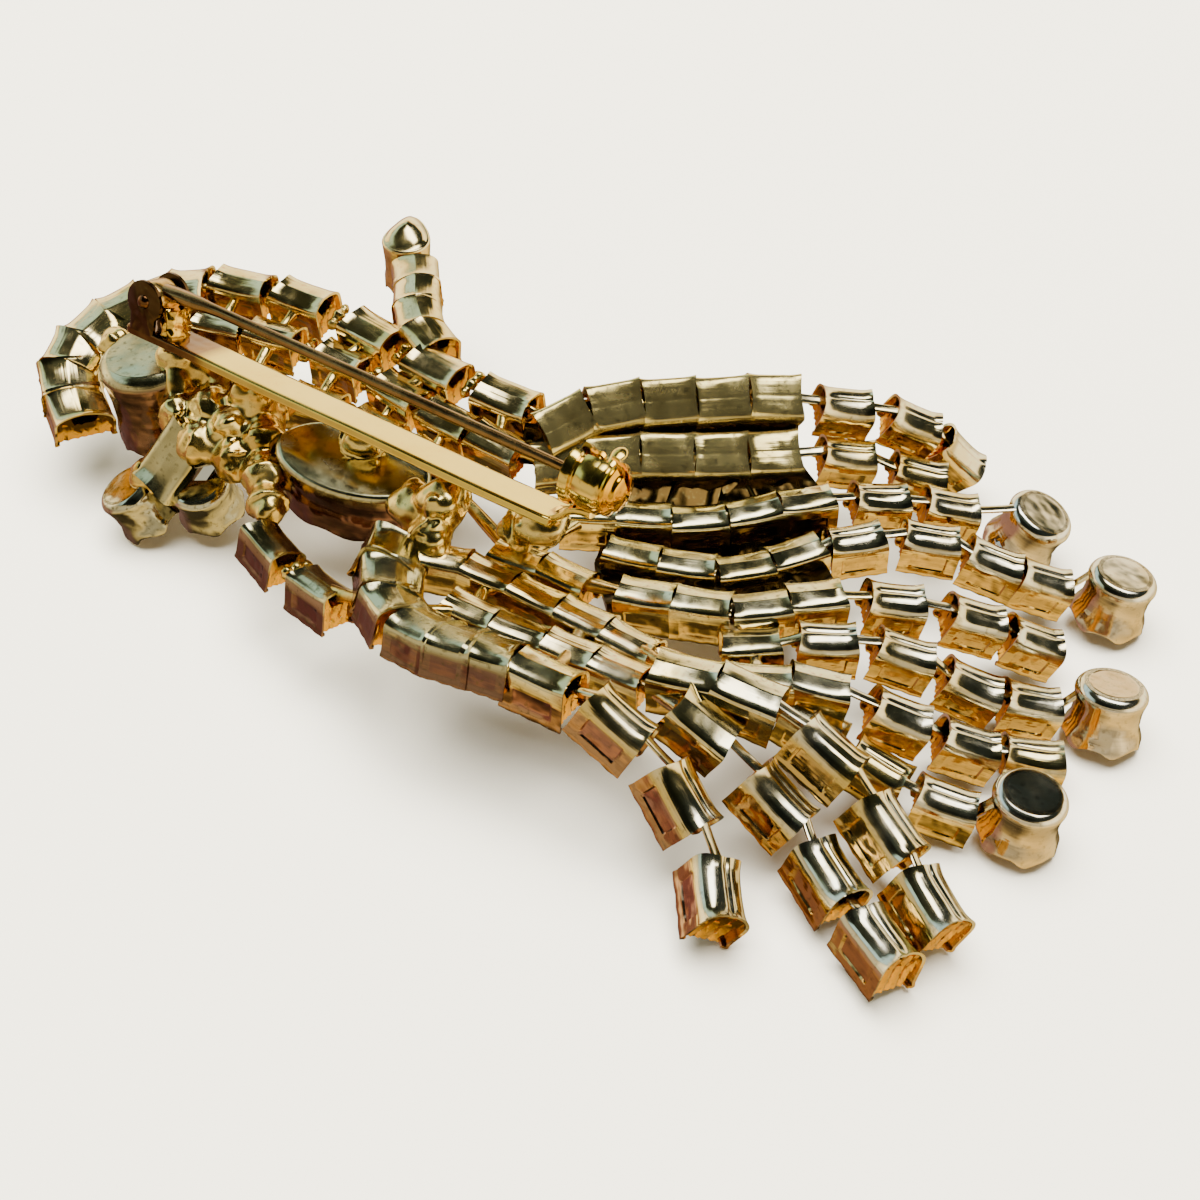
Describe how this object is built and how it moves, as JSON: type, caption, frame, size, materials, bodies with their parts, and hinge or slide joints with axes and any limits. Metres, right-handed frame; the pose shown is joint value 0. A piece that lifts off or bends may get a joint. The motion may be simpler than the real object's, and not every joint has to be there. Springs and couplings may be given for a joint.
{
  "type": "rhinestone spray brooch",
  "caption": "Gold-toned spray brooch of baguette stone cups with loose tail strands, round end cups, and a hinged pin with a turning safety catch.",
  "frame": {"origin": "middle of the footprint, on the surface that the brooch rests on", "axes": "+X along the fastener bar from the hinge to the catch, +Y towards the upper rows, +Z out of the back, away from the stones"},
  "size_m": [0.0928, 0.0542, 0.0207],
  "materials": {
    "frame_gilt": "bright gold plate over solder and pressed cups",
    "strand_gilt": "bright gold plate on pressed cups",
    "drop_gilt": "bright gold plate on round cups",
    "pin_gilt": "gilt steel wire, a little browned",
    "crystal": "clear cut glass with a foiled back"
  },
  "bodies": {
    "body": {"soldered_frame": "frame_gilt", "hinge_rivet": "pin_gilt", "strand_1": "strand_gilt", "strand_2": "strand_gilt", "strand_3": "strand_gilt", "strand_4": "strand_gilt", "strand_5": "strand_gilt", "strand_6": "strand_gilt", "strand_7": "strand_gilt", "strand_8": "strand_gilt", "strand_9": "strand_gilt", "strand_10": "strand_gilt", "strand_11": "strand_gilt", "drop_cup_1": "drop_gilt", "drop_cup_2": "drop_gilt", "drop_cup_3": "drop_gilt", "drop_cup_4": "drop_gilt", "tail_stones": "crystal", "upper_stones": "crystal", "rim_stones": "crystal", "inner_stones": "crystal", "curl_stones": "crystal", "round_stone": "crystal", "oval_stone": "crystal", "pear_stone": "crystal", "box_stone": "crystal", "left_stone": "crystal", "right_stone": "crystal", "strand_1_stones": "crystal", "strand_2_stones": "crystal", "strand_3_stones": "crystal", "strand_4_stones": "crystal", "strand_5_stones": "crystal", "strand_6_stones": "crystal", "strand_7_stones": "crystal", "strand_8_stones": "crystal", "strand_9_stones": "crystal", "strand_10_stones": "crystal", "strand_11_stones": "crystal", "drop_stone_1": "crystal", "drop_stone_2": "crystal", "drop_stone_3": "crystal", "drop_stone_4": "crystal"},
    "stem": {"pin_stem": "pin_gilt"},
    "sleeve": {"catch_sleeve": "frame_gilt"}
  },
  "joints": [
    {"name": "stem_hinge", "type": "hinge", "parent": "body", "child": "stem", "pos_m": [-0.03478, -0.00736, 0.01735], "axis": [0, -0.9397, 0.342], "range_deg": [0, 100]},
    {"name": "sleeve_turn", "type": "hinge", "parent": "body", "child": "sleeve", "pos_m": [0.00742, -0.007, 0.01834], "axis": [-1, 0, 0], "range_deg": [0, 75]}
  ]
}
